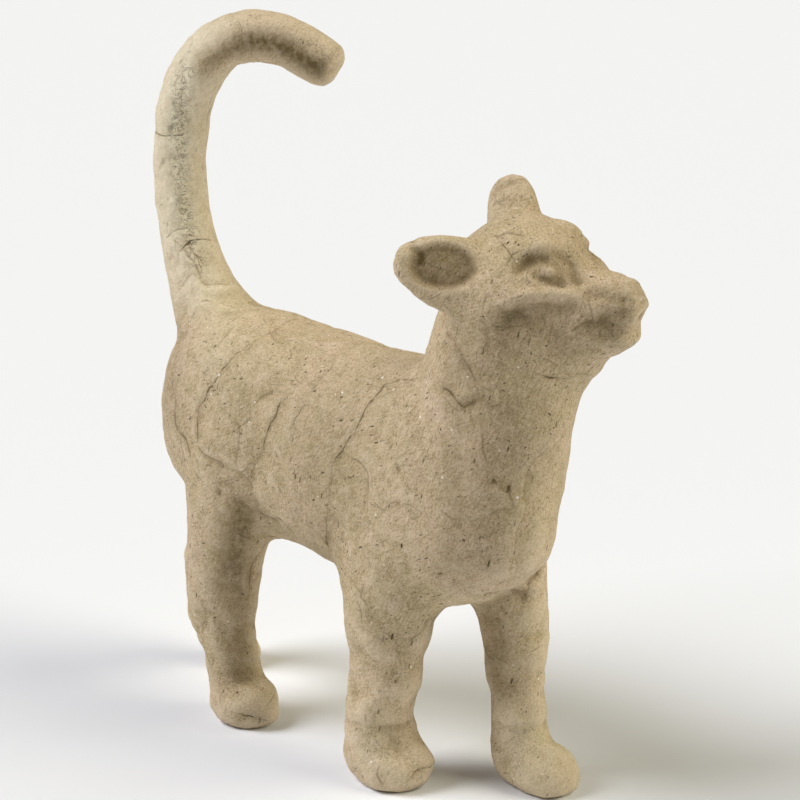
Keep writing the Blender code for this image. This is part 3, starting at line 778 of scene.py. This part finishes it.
def worked_by_hand(points, normals):
    """The relief of every seam, streak, crumple and pit of the tables, on the body and the face, with
    its painted light and shade.
    """
    relief = Relief(points, normals)
    for depth, half_width, step, dark, rows in LINES.values():
        # Beside each seam, painted shade half as dark as its line.
        relief.draw_line(rows, depth, half_width, step, dark, 0.5 * dark)
    for depth, half_width, dark, rows in STREAKS.values():
        relief.press_streak(rows, depth, half_width, dark)
    for strength, half_width, rows in CRUMPLES.values():
        relief.crumple(rows, strength, half_width)
    for depth, half_width, dark, shade, both, rows in FACE_LINES.values():
        for side, share in SIDES[: 1 + both]:
            places = [on_head(*row, side) for row in rows]
            relief.draw_line(places, share * depth, half_width, 0.0, share * dark, share * shade, True)
    for middle, along, across, depth, crisp, dark, both in FACE_OVALS.values():
        for side, share in SIDES[: 1 + both]:
            centre, origin = on_head(*middle, side), on_head(0, 0, 0, side)
            arms = [on_head(*arm, side) - origin for arm in (along, across)]
            relief.press_oval(centre, *arms, share * depth, crisp, share * dark)
    for middle, half_width, half_height, depth in PITS:
        relief.press_pit(np.array(middle), half_width, half_height, depth)
    return relief


def lumps_and_overlaps(points, edge):
    """Heights of the lumps, the pulp's grain, its folds and the overlaps of torn paper.

    Each kind of lump is noise of its wavelength times its height. Folds are pressed in where
    noise passes through zero, in patches. An overlap is the step times tanh of the distance
    from the torn edge, and fades away from it. Overlaps and larger lumps are lower on the head.
    """
    legs = smooth_step(*LEG_TOP, points[:, 2])
    head = smooth_step(HEAD_REACH, HEAD_CORE, np.linalg.norm(points - HEAD_MIDDLE, axis=1))
    calm = 1.0 - HEAD_CALM * head
    palm, finger, clot, grain = (
        (height + more * legs) * noise(points, wavelength, seed)
        for seed, (wavelength, height, more) in enumerate(LUMPS.values(), start=1)
    )
    folds = np.clip(1.0 - 4.0 * np.abs(noise(points, FOLD_SIZE, 5)), 0.0, 1.0)
    folds *= smooth_step(0.0, 0.5, noise(points, FOLD_PATCH, 6))
    overlap = PAPER_STEP * np.tanh(edge / OVERLAP_EDGE) * smooth_step(*OVERLAP_FADE, np.abs(edge))
    return calm * (palm + finger + overlap) + clot + grain - FOLD_DEPTH * folds


def paper_skin():
    """The finished skin: the bare form with its relief raised along its normals.

    Nothing is raised past the solid's box or under the soles. A hollow is how far the mean of
    a point's neighbours, taken several times over, lies out from the point.
    """
    piece = bare_form()
    mesh = piece.data
    edges = np.empty(len(mesh.edges) * 2, int)
    mesh.edges.foreach_get("vertices", edges)
    edges = edges.reshape(-1, 2)
    points = round_off(read_points(mesh), edges, ROUNDING)
    write_points(mesh, points)
    normals = read_normals(mesh)

    relief = worked_by_hand(points, normals)
    edge, tone = paper_patches(points, normals)
    height = relief.height + lumps_and_overlaps(points, edge)
    low, high = (np.array(corner) / MM for corner in CAD_BOX)
    room = np.minimum(points - low, high - points).min(axis=1)
    height *= np.where(height > 0, smooth_step(0.0, ROOM_TO_RAISE, room), 1.0)
    height *= smooth_step(*SOLE, points[:, 2])
    raised = np.clip(points + normals * height[:, None], low, high)
    write_points(mesh, raised)
    rounded = raised
    for _ in range(HOLLOW_ROUNDS):
        rounded = neighbour_average(rounded, edges)
    hollow = ((rounded - raised) * normals).sum(axis=1)

    left_on_skin = {
        "torn_edge": edge,
        "paper_tone": tone,
        "line_gap": relief.line_gap,
        "line_dark": relief.line_dark,
        "painted_light_and_shade": relief.painted_light_and_shade,
        "crumpled": relief.crumpled,
        "hollow": hollow,
    }
    for name, values in left_on_skin.items():
        layer = mesh.attributes.new(name, "FLOAT", "POINT")
        layer.data.foreach_set("value", values.astype(np.float32))
    mesh.polygons.foreach_set("use_smooth", np.ones(len(mesh.polygons), bool))
    return piece


def linear(hex_colour):
    """An sRGB hex colour as linear red, green, blue and alpha."""
    shares = np.array([int(hex_colour[at : at + 2], 16) for at in (1, 3, 5)]) / 255.0
    values = np.where(shares <= 0.04045, shares / 12.92, ((shares + 0.055) / 1.055) ** 2.4)
    return (*values, 1.0)


def add(tree, kind, inputs=None, **settings):
    """Adds a node with its settings, and sets or links its inputs by name or number.

    An input that is itself a node is linked from that node's first output.
    """
    node = tree.nodes.new(kind)
    for name, value in settings.items():
        setattr(node, name, value)
    for name, value in (inputs or {}).items():
        if isinstance(value, bpy.types.Node):
            value = value.outputs[0]
        if isinstance(value, bpy.types.NodeSocket):
            tree.links.new(value, node.inputs[name])
        else:
            node.inputs[name].default_value = value
    return node


def coat(tree, under, tint, value, span, strengths=(0.0, 1.0), blend="MIX"):
    """The colour under a coat of tint, laid on more or less thickly.

    Its share goes evenly from the first strength to the second as the value goes over the
    span, and stays the same beyond either end.
    """
    range_and_strengths = {
        "Value": value,
        "From Min": span[0],
        "From Max": span[1],
        "To Min": strengths[0],
        "To Max": strengths[1],
    }
    share = add(tree, "ShaderNodeMapRange", range_and_strengths)
    colours = {0: share, 6: under, 7: tint}
    return add(tree, "ShaderNodeMix", colours, data_type="RGBA", blend_type=blend).outputs[2]


def cloudy_pulp(tree, place):
    """Cloudy tints, from pinkish to olive, and a slightly different one for each paper."""
    wide = {"Vector": place, "Scale": 1 / (16.0 * MM), "Detail": 3.0}
    olive = {"Vector": place, "Scale": 1 / (2.4 * MM), "Detail": 5.0, "Distortion": 0.6}
    pink = {"Vector": place, "Scale": 1 / (3.6 * MM), "Detail": 4.0, "Distortion": 0.4}
    wide, olive, pink = (add(tree, "ShaderNodeTexNoise", clouds) for clouds in (wide, olive, pink))
    colour = coat(tree, linear("#D0B99C"), linear("#C4B18E"), wide, (0.38, 0.62))
    tone = add(tree, "ShaderNodeAttribute", attribute_name="paper_tone").outputs["Fac"]
    colour = coat(tree, colour, linear("#B6A180"), tone, (0.0, 1.0), (0.0, 0.30))
    colour = coat(tree, colour, linear("#A3936A"), olive, (0.42, 0.66), (0.0, 0.45))
    return coat(tree, colour, linear("#DDC6B2"), pink, (0.56, 0.70), (0.0, 0.40))


def pulp_grain(tree, place, felt, colour):
    """Fine light and dark felt, and fibres combed two ways, drawn a little coarser than real."""
    colour = coat(tree, colour, linear("#85714C"), felt, (0.50, 0.66), (0.0, 0.50))
    colour = coat(tree, colour, linear("#E0CFB4"), felt, (0.36, 0.48), (0.30, 0.0))
    for turn in ((0.3, 0.2, 0.0), (1.0, -0.5, 0.4)):
        drawn_out = {"Vector": place, "Rotation": turn, "Scale": (1.0, 1.0, 6.0)}
        laid = add(tree, "ShaderNodeMapping", drawn_out, vector_type="TEXTURE")
        combing = {"Vector": laid, "Scale": 1 / (0.25 * MM), "Detail": 4.0, "Distortion": 0.3}
        combed = add(tree, "ShaderNodeTexNoise", combing)
        colour = coat(tree, colour, linear("#8A7650"), combed, (0.54, 0.68), (0.0, 0.45))
        colour = coat(tree, colour, linear("#E3D3BA"), combed, (0.34, 0.44), (0.30, 0.0))
    return colour


def dark_fibres(tree, place, colour):
    """Short dark fibres of four sizes, lying each way.

    Space is cut into cells, turned and drawn out along z. A point is on its cell's fibre
    where its distance from the cell's own point, in cells, is under a chance times the
    thickness, so that some cells hold a thin fibre and others none.
    """
    for turn, size, thick, strength in FIBRES:
        cells = {"Vector": place, "Rotation": turn, "Scale": tuple(length * MM for length in size)}
        laid = add(tree, "ShaderNodeMapping", cells, vector_type="TEXTURE")
        cell = add(tree, "ShaderNodeTexVoronoi", {"Vector": laid, "Scale": 1.0})
        chance = add(tree, "ShaderNodeSeparateColor", {0: cell.outputs["Color"]})
        thickness = {0: chance, 1: 1.2 * thick, 2: -0.2 * thick}
        reach = add(tree, "ShaderNodeMath", thickness, operation="MULTIPLY_ADD")
        shown = add(tree, "ShaderNodeMath", {0: cell, 1: reach}, operation="LESS_THAN")
        how_dark = {"Value": chance.outputs[1], "To Min": LEAST_DARK_FIBRE, "To Max": strength}
        darkness = add(tree, "ShaderNodeMapRange", how_dark)
        share = add(tree, "ShaderNodeMath", {0: shown, 1: darkness}, operation="MULTIPLY")
        colour = coat(tree, colour, linear("#2C2216"), share, (0.0, 1.0))
    return colour


def specks_and_flecks(tree, place, colour):
    """Specks of coloured pulp, and flecks of white paper, about one to a square centimetre.

    A point is on its cell's speck where it is nearer to the cell's own point than a reach
    drawn by chance. The specks are half a millimetre across or less.
    """
    cell = add(tree, "ShaderNodeTexVoronoi", {"Vector": place, "Scale": 1 / (0.8 * MM)})
    chance = add(tree, "ShaderNodeSeparateColor", {0: cell.outputs["Color"]})
    speck = coat(tree, linear("#A2694A"), linear("#7F7B3C"), chance.outputs[1], (0.0, 1.0))
    spread = {0: chance.outputs[2], 1: 0.50, 2: -0.20}
    reach = add(tree, "ShaderNodeMath", spread, operation="MULTIPLY_ADD")
    shown = add(tree, "ShaderNodeMath", {0: cell, 1: reach}, operation="LESS_THAN")
    colour = coat(tree, colour, speck, shown, (0.0, 1.0), (0.0, 0.34))

    cell = add(tree, "ShaderNodeTexVoronoi", {"Vector": place, "Scale": 1 / (2.6 * MM)})
    chance = add(tree, "ShaderNodeSeparateColor", {0: cell.outputs["Color"]})
    reach = add(tree, "ShaderNodeMath", {0: chance.outputs[2], 1: 0.085}, operation="MULTIPLY")
    shown = add(tree, "ShaderNodeMath", {0: cell, 1: reach}, operation="LESS_THAN")
    return coat(tree, colour, linear("#F2ECDF"), shown, (0.0, 1.0))


def painted_shade_and_light(tree, place, colour):
    """Painted shade in the hollows, paler high places, and the painted light and shade of the tables,
    made ragged by noise.
    """
    hollow = add(tree, "ShaderNodeAttribute", attribute_name="hollow").outputs["Fac"]
    # Painted shade: the deeper the hollow, the darker.
    colour = coat(tree, colour, linear("#705B36"), hollow, (0.02, 0.22), (0.0, 0.55))
    # Paler on the high places.
    colour = coat(tree, colour, linear("#E0D0B6"), hollow, (-0.03, -0.20), (0.0, 0.35))
    clouds = add(tree, "ShaderNodeTexNoise", {"Vector": place, "Scale": 1 / (1.0 * MM), "Detail": 3.0})
    ragged = {"Value": clouds, "From Min": 0.3, "From Max": 0.7, "To Min": 0.55, "To Max": 1.0}
    ragged = add(tree, "ShaderNodeMapRange", ragged)
    painted_light_and_shade = add(tree, "ShaderNodeAttribute", attribute_name="painted_light_and_shade").outputs["Fac"]
    painted_light_and_shade = add(tree, "ShaderNodeMath", {0: painted_light_and_shade, 1: ragged}, operation="MULTIPLY")
    # Painted shade where the attribute is above zero, painted light where it is below zero.
    colour = coat(tree, colour, linear("#59481F"), painted_light_and_shade, (0.0, 1.5), (0.0, 0.92))
    return coat(tree, colour, linear("#EBDFBE"), painted_light_and_shade, (0.0, -2.2), (0.0, 1.0), "SCREEN")


def crumpled_folds(tree, place):
    """The fine folds of crumpled paper: how dark their painted shade is, and where they press in.

    It is 1 where a stretched noise passes its middle, times how crumpled the skin is there.
    """
    stretch = {"Vector": place, "Scale": (1.2, 1.2, 0.8)}
    laid = add(tree, "ShaderNodeMapping", stretch, vector_type="TEXTURE")
    crumpling = {"Vector": laid, "Scale": 1 / (1.1 * MM), "Detail": 3.0, "Distortion": 1.2}
    clouds = add(tree, "ShaderNodeTexNoise", crumpling)
    past = add(tree, "ShaderNodeMath", {0: clouds, 1: 0.5}, operation="SUBTRACT")
    gap = add(tree, "ShaderNodeMath", {0: past}, operation="ABSOLUTE")
    fold = {"Value": gap, "From Min": 0.0, "From Max": 0.035, "To Min": 1.0, "To Max": 0.0}
    fold = add(tree, "ShaderNodeMapRange", fold)
    crumpled = add(tree, "ShaderNodeAttribute", attribute_name="crumpled").outputs["Fac"]
    return add(tree, "ShaderNodeMath", {0: fold, 1: crumpled}, operation="MULTIPLY")


def hairline(tree, place, name, width, patch_size, patch_span, patch_strengths):
    """How dark the edge of a paper is: 1 on the line, 0 past its width, broken by noise.

    The width is where it starts to fade and where it ends, in millimetres from the line. The
    patches are the noise's size, its range, and the line's strength at either end of that.
    """
    gap = add(tree, "ShaderNodeAttribute", attribute_name=name).outputs["Fac"]
    gap = add(tree, "ShaderNodeMath", {0: gap}, operation="ABSOLUTE")
    line = {"Value": gap, "From Min": width[0], "From Max": width[1], "To Min": 1.0, "To Max": 0.0}
    line = add(tree, "ShaderNodeMapRange", line)
    clouds = {"Vector": place, "Scale": 1 / (patch_size * MM), "Detail": 2.0}
    patches = {
        "Value": add(tree, "ShaderNodeTexNoise", clouds),
        "From Min": patch_span[0],
        "From Max": patch_span[1],
        "To Min": patch_strengths[0],
        "To Max": patch_strengths[1],
    }
    patches = add(tree, "ShaderNodeMapRange", patches)
    return add(tree, "ShaderNodeMath", {0: line, 1: patches}, operation="MULTIPLY")


def pressed_kraft_pulp():
    """Papier-mache of recycled kraft paper, pressed on wet by hand and left to dry bare.

    It is matt and warm beige. Torn pulp gives it cloudy tints, a fine grain, short dark
    fibres, and now and then a fleck of white paper. Seams are darker. Painted shade darkens the
    hollows, folds and shaded places, and painted light makes some places paler. The felt
    and the lines also catch the light: their heights, in millimetres, add up.
    """
    material = bpy.data.materials.new("pressed_kraft_pulp")
    material.use_nodes = True
    tree = material.node_tree
    tree.nodes.clear()
    place = add(tree, "ShaderNodeTexCoord").outputs["Object"]
    felt = add(tree, "ShaderNodeTexNoise", {"Vector": place, "Scale": 1 / (0.26 * MM), "Detail": 6.0})
    folds = crumpled_folds(tree, place)
    line = hairline(tree, place, "line_gap", (0.05, 0.17), 1.4, (0.36, 0.50), (0.15, 1.0))
    dark = add(tree, "ShaderNodeAttribute", attribute_name="line_dark").outputs["Fac"]
    line = add(tree, "ShaderNodeMath", {0: line, 1: dark}, operation="MULTIPLY")
    tear = hairline(tree, place, "torn_edge", (0.04, 0.20), 3.2, (0.48, 0.62), (0.0, 0.45))

    colour = cloudy_pulp(tree, place)
    colour = pulp_grain(tree, place, felt, colour)
    colour = dark_fibres(tree, place, colour)
    colour = specks_and_flecks(tree, place, colour)
    colour = painted_shade_and_light(tree, place, colour)
    # Painted shade in the fine folds.
    colour = coat(tree, colour, linear("#6E5732"), folds, (0.0, 2.0), (0.0, 1.24))
    colour = coat(tree, colour, linear("#564523"), line, (0.0, 1.0))
    colour = coat(tree, colour, linear("#5E4C2F"), tear, (0.0, 1.0))

    lumps = {"Vector": place, "Scale": 1 / (0.9 * MM), "Detail": 3.0, "Distortion": 0.5}
    lumps = add(tree, "ShaderNodeTexNoise", lumps)
    height = 0.0
    for layer, tall in ((felt, 0.10), (lumps, 0.22), (line, -0.12), (folds, -0.10), (tear, -0.06)):
        height = add(tree, "ShaderNodeMath", {0: layer, 1: tall, 2: height}, operation="MULTIPLY_ADD")
    bump = add(tree, "ShaderNodeBump", {"Height": height, "Strength": 0.8, "Distance": MM})
    paper = {"Base Color": colour, "Roughness": 0.88, "IOR": 1.45, "Normal": bump}
    shader = add(tree, "ShaderNodeBsdfPrincipled", paper)
    add(tree, "ShaderNodeOutputMaterial", {"Surface": shader})
    return material


def pale_floor():
    """A wide matt white floor."""
    mesh = bpy.data.meshes.new("floor")
    corners = [(x * FLOOR_HALF, y * FLOOR_HALF, 0.0) for x, y in ((-1, -1), (1, -1), (1, 1), (-1, 1))]
    mesh.from_pydata(corners, [], [(0, 1, 2, 3)])
    floor = bpy.data.objects.new("floor", mesh)
    bpy.context.scene.collection.objects.link(floor)
    material = bpy.data.materials.new("matt_white_card")
    material.use_nodes = True
    shader = material.node_tree.nodes["Principled BSDF"]
    shader.inputs["Base Color"].default_value = linear("#EEF1F9")
    shader.inputs["Roughness"].default_value = 0.95
    mesh.materials.append(material)


def soft_light(name, around, up, strength, colour):
    """A soft light from far off, at a bearing in the picture and a height in degrees."""
    light = bpy.data.lights.new(name, "SUN")
    light.energy = strength
    light.color = colour
    light.angle = math.radians(LIGHT_SPREAD)
    bearing, rise = math.radians(around - 45.0), math.radians(up)
    source = Vector((math.sin(bearing), -math.cos(bearing), math.tan(rise)))
    lamp = bpy.data.objects.new(name, light)
    lamp.rotation_euler = (-source).to_track_quat("-Z", "Y").to_euler()
    bpy.context.scene.collection.objects.link(lamp)


def studio():
    """The camera at the photograph's angle, soft lights around and a pale surround."""
    target = Vector(CAMERA_AIM)
    camera = bpy.data.objects.new("camera", bpy.data.cameras.new("camera"))
    camera.data.sensor_width = 36.0
    camera.data.lens = CAMERA_LENS
    camera.location = target + CAMERA_DISTANCE * Vector(CAMERA_WAY)
    camera.rotation_euler = (target - camera.location).to_track_quat("-Z", "Y").to_euler()
    bpy.context.scene.collection.objects.link(camera)
    bpy.context.scene.camera = camera
    for name, (around, up, strength, colour) in LIGHTS.items():
        soft_light(name, around, up, strength, colour)
    world = bpy.data.worlds.new("pale_surround")
    world.use_nodes = True
    surround = world.node_tree.nodes["Background"]
    surround.inputs["Color"].default_value = (1.0, 1.0, 1.0, 1.0)
    surround.inputs["Strength"].default_value = SURROUND
    bpy.context.scene.world = world
    bpy.context.scene.view_settings.view_transform = "Standard"


studio()
pale_floor()
cat = paper_skin()
cat.data.materials.append(pressed_kraft_pulp())
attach(cat, "root")
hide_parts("cat")
